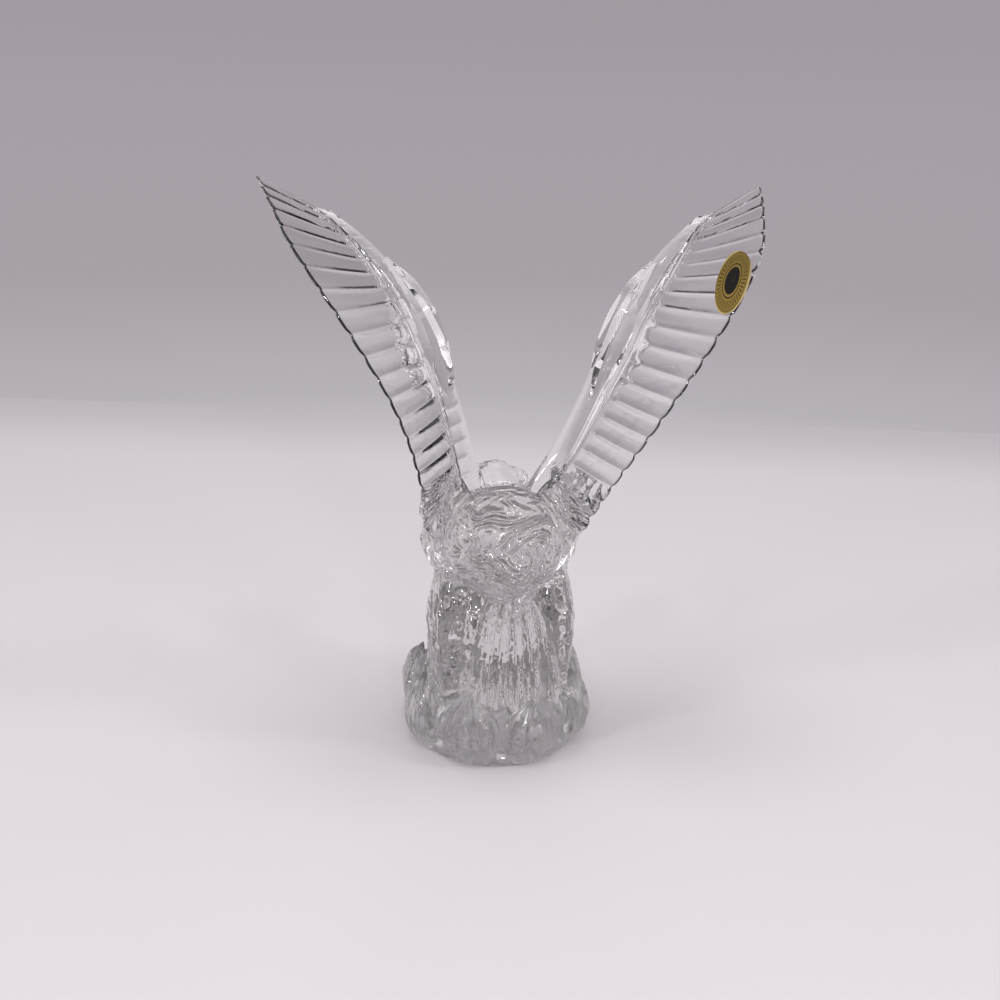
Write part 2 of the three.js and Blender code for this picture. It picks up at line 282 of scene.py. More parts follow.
def wing_point(u, v):
    """Middle of the right wing: u from root to tip, v from the leading to the trailing edge."""
    u, v = np.broadcast_arrays(np.atleast_1d(u).astype(float), v)
    root = LEADING.by_length(feather_root(u))
    tip = TRAILING.by_length(np.clip(u, 0, 1))
    point = root + (tip - root) * v[:, None]
    point[:, 1] -= CAMBER * np.sin(np.pi * v) * np.minimum(1, 3 * (1 - u) + 0.2)
    return point


def wing_normal(u, v):
    upward = wing_point(np.minimum(u + 0.02, 1), v) - wing_point(np.maximum(u - 0.02, 0), v)
    outward = wing_point(u, np.minimum(v + 0.02, 1)) - wing_point(u, np.maximum(v - 0.02, 0))
    return unit(np.cross(upward, outward))


def leaned(points, side):
    """Mirrors the right wing for the left one, and lets both sway to the eagle's right."""
    rise = np.clip((points[:, 2] - WING_FOOT) / (HEIGHT - WING_FOOT), 0, 1)
    moved = points.copy()
    moved[:, 0] = side * points[:, 0] + LEAN * np.sin(np.pi * rise) ** 0.85
    return moved


print("leading edge runs to", np.round(LEADING.points[-1] * 1000, 1), "mm")

# %% Blade of a wing
VANE_INNER = 0.0018
VANE_OUTER = 0.0008
RIB_HEIGHT = 0.0003
SCALLOP = 0.0009
BONE_HALF = shares([3.4, 2.5, 2.2, 2.1, 1.9, 1.5, 1.1])
BONE_BACK = 0.3
ACROSS_FEATHER = 10
SECTION = 88


def crown(u):
    """Rise of a feather over its grooves, 0 to 1: a low dome with a narrow rounded groove each side."""
    beside = 1 - np.abs(2 * ((u * FEATHERS) % 1) - 1)
    groove = 0.6 - 0.3 * smooth(0.5, 0.7, u)
    return 0.85 * smooth(0, groove, beside) ** 0.8 + 0.15 * np.sin(np.pi * beside / 2)


def crowd(s):
    """Moves the rings of a wing closer together at the grooves, where the shape changes most."""
    t = s * FEATHERS
    return (t - 0.5 * np.sin(2 * np.pi * t) / (2 * np.pi)) / FEATHERS


def blade_half(u, v):
    """Half thickness of the wing without its ribs: a rounded bone in front and a thin vane behind."""
    vane = (VANE_INNER + (VANE_OUTER - VANE_INNER) * v) / 2
    nose = np.sqrt(np.minimum(1, v / (0.5 * BONE_BACK)))
    bone = along(BONE_HALF, u) * nose
    back = smooth(0.35 * BONE_BACK, BONE_BACK, v)
    rim = np.sqrt(np.clip((1 - v) / 0.02, 0, 1))
    return (np.maximum(bone, vane * nose) * (1 - back) + vane * back) * rim


def section_place(turn):
    """Where round the blade's section a segment lies: v from 0 to 1, and the face it is on."""
    half = np.where(turn <= np.pi, turn, 2 * np.pi - turn) / np.pi
    v = 0.5 - 0.5 * np.cos(np.pi * half)
    v = 0.35 * v + 0.65 * half
    return v, np.where(turn <= np.pi, 1.0, -1.0)


def wing_blade(name, side):
    def recipe(s, turn, full):
        v, face = section_place(turn)
        s = crowd(s)
        ridge = 1 - crown(s)
        bare = 0.36 - 0.2 * smooth(0.5, 0.68, s) if side > 0 else 0.1
        begin = np.where(face > 0, 0.3, bare)
        groove = RIB_HEIGHT * smooth(begin, begin + 0.1, v) * (1 - 0.5 * smooth(0.7, 1, v)) * ridge
        groove *= 1 - 0.55 * smooth(0.62, 0.75, s)
        groove *= np.where(face > 0, 0.4, 1) if side < 0 else 1
        tipward = unit(wing_point(s, np.ones_like(s)) - wing_point(s, np.full_like(s, 0.9)))
        reach = -SCALLOP * ridge * smooth(0.93, 1, v)
        half = np.maximum(blade_half(s, v) - groove, 0) * full * face
        v = np.where(full > 0, v, 0.5)
        points = wing_point(s, v) + tipward * reach[:, None] + wing_normal(s, v) * half[:, None]
        return leaned(points, side)

    return shaped_ball(name, SECTION, FEATHERS * ACROSS_FEATHER + 3, recipe)


wings = [wing_blade("wing_right", 1), wing_blade("wing_left", -1)]
print("points in one wing:", len(wings[0].data.vertices))

# %% [markdown]
# Over the wing bone, just below the wrist, lies one long pointed covert. In the photograph it is
# the brightest thing on each wing, because its two slopes turn light both ways. It is a limb that
# follows the leading edge, thick in the middle and drawn out to points.

# %% Long covert below the wrist
def feather_at(edge):
    """The feather whose root lies at a share of the leading edge."""
    above = WRIST_FEATHER + (edge - WRIST) / (LAST_ROOT - WRIST) * (1 - WRIST_FEATHER)
    return np.minimum(1, np.where(edge < WRIST, edge / WRIST * WRIST_FEATHER, above))


def covert(name, side, first, last, set_in, width, depth):
    """A pointed leaf of glass with a sharp keel, from a lower to a higher share of the leading edge."""
    edges = np.linspace(first, last, 5)
    edge_points = LEADING.by_length(edges)
    inward = unit(wing_point(feather_at(edges), np.full(5, 0.5)) - edge_points)
    curve = Line(edge_points + inward * along(shares(set_in), np.linspace(0, 1, 5))[:, None])

    def recipe(s, turn, full):
        edge = first + (last - first) * s
        out = wing_normal(feather_at(edge), np.full_like(s, 0.3))
        tangent = curve.direction(s)
        across = unit(np.cross(tangent, out))
        front = np.cross(across, tangent)
        keel = (2 / np.pi) * np.arcsin(np.cos(turn))
        a = np.sin(turn) * full * along(shares(width), s)
        b = keel * full * along(shares(depth), s)
        return leaned(curve.point(s) + across * a[:, None] + front * b[:, None], side)

    return shaped_ball(name, 24, 40, recipe)


wing_coverts = []
for side in (1, -1):
    wing_coverts.append(covert("covert_long", side, 0.3, 0.6, [5.2, 5.6, 5.2, 3.6], [0.2, 1.5, 2, 1.5, 0.3], [2, 3.7, 4.1, 3.7, 2]))
    wing_coverts.append(covert("covert_short", side, 0.36, 0.66, [1.6, 1.6, 1.6, 1.6], [0.2, 1, 1.2, 0.9, 0.2], [1.6, 2.9, 3.1, 2.7, 1.4]))
print("coverts:", [piece.name for piece in wing_coverts])

# %% [markdown]
# The body is a round rump towards the viewer, a trunk that dips forward to the chest, and a neck
# stretched out to a head that looks to the eagle's right. They overlap like lumps of clay and are
# fused later, so nothing has to meet exactly here.

# %% Body, shoulders and neck
lumps = [
    egg("rump", at(-0.3, -13.8, 42.4), Y_AXIS, share(9.7), share(9.7), share(9.6), 64, 40),
    limb(
        "trunk",
        [
            at(-0.3, -16.7, 43.2), at(-0.2, -12.2, 42.6), at(0, -6.7, 40.3), at(0, -1.1, 38), at(0, 4.4, 36.1),
            at(0, 9.4, 36.3), at(0, 13.3, 38.3), at(0, 16.7, 40.6), at(0, 19.4, 41.7),
        ],
        shares([5, 9.4, 12.4, 13.9, 13.3, 11.1, 7.5, 5.3, 4.2]),
        shares([5, 8.6, 9, 9.2, 8.6, 7.4, 5.8, 5, 4.2]),
        Z_AXIS, 48, 48,
    ),
    egg("chest", at(0, 8, 33), (0, 0.35, 1), share(10), share(9.6), share(7.6), 48, 32),
]
for side in (1, -1):
    lumps.append(egg("shoulder", at(side * 8.9 + 0.3, -4.5, 43), (side * 0.35, -0.3, 1), share(9), share(5), share(6.5)))
print("lumps so far:", len(lumps))

# %% [markdown]
# The head is small and clear, with a heavy brow and a beak that hooks down, which is what makes an
# eagle of it from the front. All its parts are placed from the skull, along the line of its gaze.

# %% Head with hooked beak, brows and eyes
HEAD = at(0.4, 19, 41.4)
GAZE = unit(np.array([0.74, 0.66, -0.12]))
CHEEK = unit(np.cross(GAZE, Z_AXIS))


def from_head(forward, side, upward):
    return HEAD + GAZE * share(forward) + CHEEK * share(side) + Z_AXIS * share(upward)


lumps.append(egg("skull", HEAD, GAZE, share(5.5), share(4.5), share(4.7), 40, 28))
lumps.append(limb(
    "beak",
    [from_head(3.2, 0, 0.3), from_head(6, 0, 0.6), from_head(8.2, 0, -0.1), from_head(9, 0, -2.6)],
    shares([2.6, 2.1, 1.4, 0.3]), shares([2.8, 2.2, 1.5, 0.3]), Z_AXIS, 24, 24,
))
for side in (1, -1):
    lumps.append(limb(
        "brow",
        [from_head(-1.2, side * 3.1, 2), from_head(1.8, side * 3.2, 2.6), from_head(4.8, side * 1.7, 1.7)],
        shares([0.4, 1.2, 0.4]), shares([0.3, 0.9, 0.4]), Z_AXIS, 16, 14,
    ))
    lumps.append(egg("eye", from_head(2.6, side * 3.4, 1), GAZE, share(0.9), share(0.7), share(0.8), 20, 14))
print("head centre, mm:", np.round(HEAD * 1000, 1))

# %% [markdown]
# Two feathered thighs hang down the back of the rock and fill the column's sides. In front, short
# shanks end in three toes each that bend over the rock's edge, with pointed claws.

# %% Legs and toes
for side in (1, -1):
    lumps.append(limb(
        "thigh",
        [at(side * 8, -6, 36), at(side * 9, -8.2, 27), at(side * 9.3, -8.8, 19), at(side * 9, -8.5, 12)],
        shares([3.2, 3.9, 3.4, 2]), shares([4.5, 5.4, 4.6, 2.4]), Y_AXIS, 36, 40,
        ridge=lambda turn, s: 0.07 * np.cos(5 * turn),
    ))
    lumps.append(limb(
        "shank",
        [at(side * 6, 4.5, 32), at(side * 5.7, 7, 28), at(side * 5.3, 8.5, 24)],
        shares([4.2, 3, 1.9]), shares([4.6, 3.2, 2]), Y_AXIS, 28, 20,
    ))
    for spread in (-3, 0, 3):
        lumps.append(limb(
            "toe",
            [
                at(side * 5.3 + spread * 0.25, 8.6, 24.9), at(side * 5.3 + spread * 0.8, 11.8, 25.4),
                at(side * 5.3 + spread, 13.9, 22.8), at(side * 5.3 + spread, 13.9, 19.6),
            ],
            shares([1.4, 1.3, 1.1, 0.2]), shares([1.5, 1.4, 1.1, 0.2]), unit(Y_AXIS + Z_AXIS), 18, 20,
            ridge=lambda turn, s: 0.08 * np.cos(2 * np.pi * 6 * s) * smooth(0, 0.1, 0.75 - s),
        ))
print("lumps so far:", len(lumps))

# %% [markdown]
# The tail is a short fan let down behind the rock. Each of its five feathers is a rounded rib, so
# the fan is again one ball whose segments go round its section.

# %% Tail fan
TAIL_FEATHERS = 5
TAIL_RELIEF = 0.0016
TAIL_TOP = at(1, -17.5, 35)
TAIL_FOOT = at(2.6, -12.4, 9)


def tail_recipe(s, turn, full):
    half = np.where(turn <= np.pi, turn, 2 * np.pi - turn) / np.pi
    across = (2 * half - 1) * full
    behind = turn <= np.pi
    ribs = np.abs(np.sin(np.pi * half * TAIL_FEATHERS))
    width = share(2.4) + (share(8.6) - share(2.4)) * np.sqrt(s)
    drop = s - 0.12 * s * across ** 2
    centre = TAIL_TOP + (TAIL_FOOT - TAIL_TOP) * drop[:, None]
    bow = share(1.6) * (1 - across ** 2) + TAIL_RELIEF * ribs
    centre[:, 0] += width * across
    centre[:, 1] += np.where(behind, -bow * full, share(5) * np.sin(np.pi * half) ** 0.3 * full)
    return centre


lumps.append(shaped_ball("tail", 80, 40, tail_recipe))
print("tail feathers:", TAIL_FEATHERS)

# %% [markdown]
# Under the eagle a cleft rock spreads into a low mound. The mound itself is plain, because long
# pointed leaves cover it: a front row that leans on its side and a second row whose tips look out
# between them. One leaf of each row is shaped, and its copies are turned round the mound.

# %% Rock and mound
ROCK_CLEFTS = 9

lumps.append(limb(
    "rock",
    [at(0, 0, 3), at(0, -0.4, 10), at(0, -1, 17), at(0, -1.2, 23.5), at(0, -1.5, 27)],
    shares([13, 12.2, 11.2, 10.6, 8]), shares([14, 14, 13.6, 12.6, 9]), Y_AXIS, 108, 50,
    ridge=lambda turn, s: 0.035 * np.cos(ROCK_CLEFTS * turn + 4 * s),
))
lumps.append(egg("back_fill", at(0, -6.5, 24), Z_AXIS, share(14), share(10.3), share(8.8), 40, 28))


def stretched(turn):
    """The mound is round at the back and drawn out a little in front."""
    return 1 + 0.14 * np.maximum(0, np.cos(turn)) ** 2


def mound_recipe(s, turn, full):
    swell = along([1.02, 1.03, 0.92, 0.9, 0.88, 0.85, 0.81, 0.76, 0.68], s)
    reach = full * BASE_RADIUS * swell * stretched(turn)
    return np.stack([-np.sin(turn) * reach, np.cos(turn) * reach, s * BASE_HEIGHT], axis=-1)


lumps.append(shaped_ball("mound", 96, 30, mound_recipe))
print("lumps so far:", len(lumps))

# %% Leaves of the mound
LEAF_ROWS = {
    "front": [(25.4, 0.6), (28, 6), (28.8, 12.5), (27.8, 19.5), (25.2, 26)],
    "behind": [(22.8, 0.6), (24.4, 8), (24.8, 15), (23.8, 22), (21.4, 29)],
}
LEAF_HALF_WIDTHS = [0.0056, 0.009, 0.0084, 0.005, 0.0003]
LEAF_HALF_DEPTHS = [0.0014, 0.0026, 0.003, 0.0022, 0.0005]


def leaf(name, profile, place):
    """One pointed leaf with a keel, leaning on the mound at an angle round it."""
    outward = np.array([-math.sin(place), math.cos(place), 0])
    level = np.array([math.cos(place), math.sin(place), 0])
    grow = stretched(place)
    curve = Line([outward * r * grow / 1000 + Z_AXIS * h / 1000 for r, h in profile])

    def recipe(s, turn, full):
        growth = curve.direction(s)
        out = np.cross(level, growth) * -1
        keel = np.cos(turn)
        ridge = 0.35 * np.exp(-(np.sin(turn) / 0.14) ** 2) * (keel > 0)
        across = (np.sin(turn) * full * along(LEAF_HALF_WIDTHS, s))[:, None]
        rise = ((np.sign(keel) * np.abs(keel) ** 0.8 + ridge) * full * along(LEAF_HALF_DEPTHS, s))[:, None]
        moved = curve.point(s) + across * level + rise * out
        bend = (np.hypot(across[:, 0], 0) / 0.0092) ** 2 * 0.0012
        moved -= outward * bend[:, None]
        moved[:, 2] = np.maximum(moved[:, 2], 0)
        return moved

    return shaped_ball(name, 40, 36, recipe)


for k in range(LEAVES):
    lumps.append(leaf("leaf_front", LEAF_ROWS["front"], (k + 0.5) / LEAVES * 2 * math.pi))
    lumps.append(leaf("leaf_behind", LEAF_ROWS["behind"], k / LEAVES * 2 * math.pi))
print("lumps in all:", len(lumps))

# %% [markdown]
# Clear glass shows every wall inside it, so the lumps can't stay separate. The body's lumps are
# fused by a voxel remesh, which keeps only the outer skin, and are then smoothed, as the fire
# polish rounds the real one. The wings keep their fine ribs and are joined to it by a Boolean.

# %% Fuse the body
VOXEL = 0.00078


def join(pieces, name):
    deselect()
    for piece in pieces:
        piece.select_set(True)
    bpy.context.view_layer.objects.active = pieces[0]
    bpy.ops.object.join()
    joined = bpy.context.active_object
    joined.name = name
    return joined


def apply_modifier(piece, kind, **settings):
    deselect()
    bpy.context.view_layer.objects.active = piece
    piece.select_set(True)
    modifier = piece.modifiers.new(kind.lower(), kind)
    for key, value in settings.items():
        setattr(modifier, key, value)
    bpy.ops.object.modifier_apply(modifier=modifier.name)


eagle = join(lumps, "eagle")
apply_modifier(eagle, "REMESH", mode="VOXEL", voxel_size=VOXEL, adaptivity=0)
apply_modifier(eagle, "SMOOTH", factor=0.5, iterations=2)
print("triangles after the remesh:", 2 * len(eagle.data.polygons))

# %% [markdown]
# The fused body is as smooth as wax. Feathers are now carved into it: overlapping rounded scales
# in staggered rows, their tips towards the tail on the trunk and downwards on the thighs. A scale
# is a small formula of two numbers, how far round the limb and how far along it, and each point of
# the skin is pushed out by it. The rump keeps its round form, because it works as a lens in front of
# the rest, and gets only shallow swirls. The shoulders get a few curved ridges round the wing roots.

# %% Carve the feathers
FEATHER_ROW = 0.0052
FEATHER_CUT = 0.0021


def read_normals(piece):
    normals = np.empty(len(piece.data.vertices) * 3)
    piece.data.vertex_normals.foreach_get("vector", normals)
    return normals.reshape(-1, 3)


def scales(around, rows):
    """Rise of overlapping scales, 0 to 1. Around counts scales across, rows counts them lengthways."""
    best = np.zeros_like(rows)
    for back in (0, 1):
        row = np.floor(rows) - back
        reach = rows - row
        across = 2 * ((around + 0.5 * (row % 2)) % 1) - 1
        inside = reach < 1.8 - 0.85 * across ** 2
        rise = (0.2 + 0.8 * reach / 1.8) * (1 - 0.35 * across ** 2) + 0.14 * np.exp(-(across / 0.14) ** 2)
        best = np.maximum(best, np.where(inside, rise, 0))
    return best


points = read_points(eagle)
normals = read_normals(eagle)
x, y, z = (points / share(1)).T
trunk_height = np.interp(y, [-16.7, -12.2, -6.7, -1.1, 4.4, 9.4, 13.3, 16.7, 19.4], [43.2, 42.6, 40.3, 38, 36.1, 36.3, 38.3, 40.6, 41.7])
round_trunk = np.arctan2(x, z - trunk_height) / (2 * np.pi)
on_trunk = smooth(-9.5, -7, y) * smooth(25.5, 28, z) * (1 - smooth(49, 52, z))
near_head = 1 - smooth(7, 9, np.linalg.norm(points - HEAD, axis=1) / share(1))
lying_back = 0.3 + 0.7 * smooth(-3, 4, y)
depth = on_trunk * lying_back * (1 - 0.9 * near_head) * FEATHER_CUT * (scales(round_trunk * 16, (25 - y) * share(1) / FEATHER_ROW) - 0.5)

for side in (1, -1):
    centre_x = side * np.interp(z, [12, 19, 27, 36], [9, 9.3, 9, 8])
    centre_y = np.interp(z, [12, 19, 27, 36], [-8.5, -8.8, -8.2, -6])
    off_x, off_y = x - centre_x, y - centre_y
    near = 1 - smooth(1.0, 1.25, np.hypot(off_x / 3.9, off_y / 5.6))
    on_thigh = near * smooth(13, 15, z) * (1 - smooth(32, 35, z)) * (1 - on_trunk)
    round_thigh = np.arctan2(off_x, -off_y) / (2 * np.pi)
    depth += on_thigh * 0.25 * FEATHER_CUT * (scales(round_thigh * 9, (36 - z) * share(1) / FEATHER_ROW) - 0.4)
    pivot = at(side * 13.5, -8, 50)
    on_shoulder = smooth(40, 42, z) * (1 - smooth(50, 53, z)) * smooth(8.5, 10.5, side * x) * (1 - smooth(-6, -4, y))
    nested = np.linalg.norm(points - pivot, axis=1)
    depth += on_shoulder * 0.0004 * np.sin(2 * np.pi * nested / 0.0045)

from_rump = points - at(-0.3, -13.8, 42.4)
facing_back = -from_rump[:, 1] / np.linalg.norm(from_rump, axis=1)
on_rump = smooth(0.3, 0.55, facing_back) * (np.linalg.norm(from_rump, axis=1) < share(10.2)) * smooth(34, 36, z)
swirls = np.zeros(len(points))
for i in np.nonzero(on_rump > 0.01)[0]:
    spot = Vector(points[i])
    drift = noise.noise_vector(spot * 80) * 1.5
    swirls[i] = 0.4 - abs(noise.noise(Vector((spot.x * 120, spot.y * 120, spot.z * 280)) + drift)) ** 0.7
depth += on_rump * 0.0005 * swirls
write_points(eagle, points + normals * depth[:, None])
print("deepest cut, mm:", round(-1000 * depth.min(), 2), "highest tip, mm:", round(1000 * depth.max(), 2))

# %% [markdown]
# The rock is rough, as if chipped or cut with a small wheel, and each leaf of the mound carries
# a ridge along the middle. Both are again pushes along the skin's own direction, the first from a
# noise and the second from a leaf's own measures.

# %% Chip the rock and ridge the leaves
points = read_points(eagle)
normals = read_normals(eagle)
x, y, z = (points / share(1)).T
from_axis = np.hypot(x, y + 1)
on_tail = (1 - smooth(9, 10, np.abs(x - 2))) * (1 - smooth(-15.5, -14, y)) * smooth(10, 12, z)
on_rock = smooth(12.5, 15, z) * (1 - smooth(27, 30, z)) * (1 - smooth(14, 15, from_axis)) * (1 - on_tail)
chips = np.zeros(len(points))
for i in np.nonzero(on_rock > 0.01)[0]:
    spot = Vector(points[i]) * 230
    chips[i] = noise.noise(spot) + 0.5 * noise.noise(spot * 2.1)
depth = on_rock * 0.0009 * chips

turn = np.arctan2(-points[:, 0], points[:, 1])
s = points[:, 2] / (1.1 * BASE_HEIGHT)
offset = ((turn / (2 * np.pi) * LEAVES) % 1 - 0.5) * 2
across = np.abs(offset) / np.maximum(0.08, np.interp(s, [0, 0.25, 0.5, 0.75, 1], [0.6, 0.95, 1, 0.7, 0.05]))
on_leaf = (1 - smooth(0.8, 0.95, across)) * smooth(0.04, 0.1, s) * (1 - smooth(0.85, 1, s)) * smooth(13, 14, from_axis)
midrib = np.exp(-(across / 0.12) ** 2)
depth += on_leaf * 0.0006 * midrib
write_points(eagle, points + normals * depth[:, None])
print("points on the rock:", int((on_rock > 0.5).sum()), "and on leaves:", int((on_leaf > 0.5).sum()))

# %% [markdown]
# The coverts go onto the wings and the wings onto the body, so that no wall is left inside the
# glass. Edges sharper than 40 degrees stay crisp and the rest is shaded smooth, as cut crystal is.

# %% Join the wings
for wing, over_bone in zip(wings, (wing_coverts[:2], wing_coverts[2:])):
    for piece in over_bone:
        apply_modifier(wing, "BOOLEAN", operation="UNION", object=piece, solver="MANIFOLD")
    apply_modifier(eagle, "BOOLEAN", operation="UNION", object=wing, solver="MANIFOLD")
for spare in wings + wing_coverts:
    bpy.data.objects.remove(spare)
deselect()
bpy.context.view_layer.objects.active = eagle
eagle.select_set(True)
bpy.ops.object.shade_smooth_by_angle(angle=math.radians(40))
eagle.data.calc_loop_triangles()
print("triangles:", len(eagle.data.loop_triangles))

# %% [markdown]
# Crystal is clear all through, so its look is plain numbers on the shader: full transmission, the
# refraction of glass and almost no roughness. The glass is a little grey where it is thick, as the
# body is and the wings aren't, and the absorption of light per metre says how much.

# %% Clear crystal
crystal = bpy.data.materials.new("clear_crystal")
crystal.use_nodes = True
nodes, links = crystal.node_tree.nodes, crystal.node_tree.links
shader = nodes["Principled BSDF"]
shader.inputs["Base Color"].default_value = (0.975, 0.97, 0.97, 1)
shader.inputs["Transmission Weight"].default_value = 1
shader.inputs["IOR"].default_value = 1.52
shader.inputs["Roughness"].default_value = 0.02
thick_glass = nodes.new("ShaderNodeVolumeAbsorption")
thick_glass.inputs["Color"].default_value = (0.24, 0.2, 0.2, 1)
thick_glass.inputs["Density"].default_value = 4.8
links.new(thick_glass.outputs["Volume"], nodes["Material Output"].inputs["Volume"])
print("crystal refracts by", round(shader.inputs["IOR"].default_value, 2))

# %% [markdown]
# Moulded glass is never quite flat. A faint waviness lies over the whole skin, and the body under
# the wings is hammered with small dents, which the mould leaves between the feathers. Both are soft
# noises read as height, and the dents fade out where the wings and the leaves begin.

# %% Waves and dents of the skin
def math_step(operation, *values):
    """One step of arithmetic on sockets or plain numbers."""
    node = nodes.new("ShaderNodeMath")
    node.operation = operation
    for socket, value in zip(node.inputs, values):
        if isinstance(value, (int, float)):
            socket.default_value = value
        else:
            links.new(value, socket)
    return node.outputs[0]


def product(*values):
    result = values[0]
    for value in values[1:]:
        result = math_step("MULTIPLY", result, value)
    return result


def ramp(value, begin, end):
    """Rises softly from 0 to 1 while a value goes from begin to end."""
    node = nodes.new("ShaderNodeMapRange")
    node.interpolation_type = "SMOOTHSTEP"
    node.inputs["From Min"].default_value = begin
    node.inputs["From Max"].default_value = end
    links.new(value, node.inputs["Value"])
    return node.outputs["Result"]


def noise_of(vector, scale, detail, distortion=0.0):
    node = nodes.new("ShaderNodeTexNoise")
    node.inputs["Scale"].default_value = scale
    node.inputs["Detail"].default_value = detail
    node.inputs["Distortion"].default_value = distortion
    links.new(vector, node.inputs["Vector"])
    return node.outputs["Fac"]


def raised(height, depth, strength, normal=None):
    """Bumps the skin by a height, over the bumps that are already in a normal."""
    node = nodes.new("ShaderNodeBump")
    node.inputs["Distance"].default_value = depth
    links.new(height, node.inputs["Height"])
    if isinstance(strength, (int, float)):
        node.inputs["Strength"].default_value = strength
    else:
        links.new(strength, node.inputs["Strength"])
    if normal is not None:
        links.new(normal, node.inputs["Normal"])
    return node.outputs["Normal"]


coords = nodes.new("ShaderNodeTexCoord").outputs["Object"]
split = nodes.new("ShaderNodeSeparateXYZ")
links.new(coords, split.inputs[0])
x_now, y_now, z_now = split.outputs
under_wings = ramp(z_now, share(50), share(44))
off_leaves = math_step("MULTIPLY_ADD", ramp(z_now, share(11), share(15)), 0.9, 0.1)
skin = raised(noise_of(coords, 160, 3), 0.0004, 0.12)
skin = raised(noise_of(coords, 240, 1, 0.8), 0.0004, product(under_wings, off_leaves, 0.9), skin)
print("waves 6 mm long and dents 4 mm long")

# %% [markdown]
# The rump facing the viewer and the wing roots are engraved with nested curved lines, like the
# grain of wood. Such lines come from the sine of a slow noise: where the noise climbs evenly the
# lines lie side by side, and where it turns they close into loops. On the rump they fill a round
# disc and leave its rim clear, so the disc is the part of the ball that looks back and up.

# %% Engraved swirls
look_back = nodes.new("ShaderNodeVectorMath")
look_back.operation = "DOT_PRODUCT"
look_back.inputs[1].default_value = (0, -0.94, 0.34)
links.new(coords, look_back.inputs[0])
on_disc = product(ramp(look_back.outputs["Value"], share(30), share(31)), ramp(z_now, share(32), share(34)))
at_roots = product(ramp(math_step("ABSOLUTE", x_now), share(8.2), share(9.6)), ramp(z_now, share(38), share(40)))
below_wings = ramp(z_now, share(54), share(51))
swirled = product(math_step("MAXIMUM", on_disc, at_roots), below_wings)
flow = noise_of(coords, 62, 1.2, 0.7)
skin = raised(math_step("SINE", product(flow, 90.0)), 0.00048, swirled, skin)
disc_step = ramp(look_back.outputs["Value"], share(29.7), share(30.2))
skin = raised(disc_step, 0.0008, product(ramp(z_now, share(30), share(33)), below_wings, 0.9), skin)
print("engraved disc, mm across:", round(2 * share(8.9) * 1000, 1))

# %% [markdown]
# Each leaf of the mound is a raised pointed shape with fine veins that run beside its edge and meet
# at its tip. The leaf is measured as when it was shaped: how far round the mound a point lies
# between two leaves, over how wide the leaf is at that height.

# %% Edges and veins of the leaves
angle = math_step("ARCTAN2", product(x_now, -1.0), y_now)
between = math_step("FRACT", product(angle, LEAVES / (2 * math.pi)))
from_middle = math_step("ABSOLUTE", math_step("MULTIPLY_ADD", between, 2.0, -1.0))
from_widest = math_step("SUBTRACT", math_step("DIVIDE", z_now, 1.1 * BASE_HEIGHT), 0.42)
leaf_width = math_step("SUBTRACT", 1.0, product(from_widest, from_widest, 2.8))
share_across = math_step("DIVIDE", from_middle, math_step("MAXIMUM", leaf_width, 0.05))
vein_lines = math_step("SINE", math_step("ADD", product(share_across, 26.0), product(flow, 5.0)))
inside_leaf = ramp(share_across, 1.02, 0.9)
leaf_height = math_step("ADD", product(vein_lines, inside_leaf, 0.18), inside_leaf)
skin = raised(leaf_height, 0.0012, product(ramp(z_now, share(15), share(13)), 0.9), skin)
links.new(skin, shader.inputs["Normal"])

eagle.data.materials.clear()
eagle.data.materials.append(crystal)
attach(eagle, "root")
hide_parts("crystal_eagle")
print("leaves with veins:", LEAVES)

# %% [markdown]
# A small oval seal of gold foil sticks to the back of the right wing. It is printed foil: a bright
# rim, a ring of fine ticks and a plain dark oval in the middle.

# %% Gold foil seal
SEAL_U, SEAL_V = 0.678, 0.86
SEAL_WIDTH, SEAL_LENGTH = 0.0106, 0.0196
SEAL_TURN = math.radians(18)
SEAL_GAP = 0.0003
SEAL_THICKNESS = 0.0004


def turned_about(vector, axis, angle):
    """A vector turned about a unit axis."""
    across = np.cross(axis, vector)
    return vector * math.cos(angle) + across * math.sin(angle) + axis * axis.dot(vector) * (1 - math.cos(angle))


middle = wing_point(SEAL_U, np.array([SEAL_V]))[0]
outward = wing_normal(np.array([SEAL_U]), np.array([SEAL_V]))[0]
upright = unit(Z_AXIS - outward * Z_AXIS.dot(outward))
upright = turned_about(upright, outward, -SEAL_TURN)
level = unit(np.cross(upright, outward))
du = (wing_point(SEAL_U + 0.01, np.array([SEAL_V]))[0] - middle) / 0.01
dv = (wing_point(SEAL_U, np.array([SEAL_V + 0.01]))[0] - middle) / 0.01
spread = du.dot(du) * dv.dot(dv) - du.dot(dv) ** 2


def seal_recipe(s, turn, full):
    ring = np.sin(np.pi * np.where(s < 0.5, s, 1 - s)) * full
    ring = np.where(full > 0, np.minimum(1, 1.02 * ring), 0)
    a, b = ring * np.cos(turn), ring * np.sin(turn)
    offset = a[:, None] * level * SEAL_WIDTH / 2 + b[:, None] * upright * SEAL_LENGTH / 2
    along_u, along_v = offset @ du, offset @ dv
    u = SEAL_U + (along_u * dv.dot(dv) - along_v * du.dot(dv)) / spread
    v = SEAL_V + (along_v * du.dot(du) - along_u * du.dot(dv)) / spread
    lift = blade_half(u, np.minimum(v, 0.86)) + SEAL_GAP
    beyond = np.where(s < 0.5, 1, 0.55) * SEAL_THICKNESS
    return leaned(wing_point(u, v) - wing_normal(u, v) * (lift + beyond)[:, None], 1)


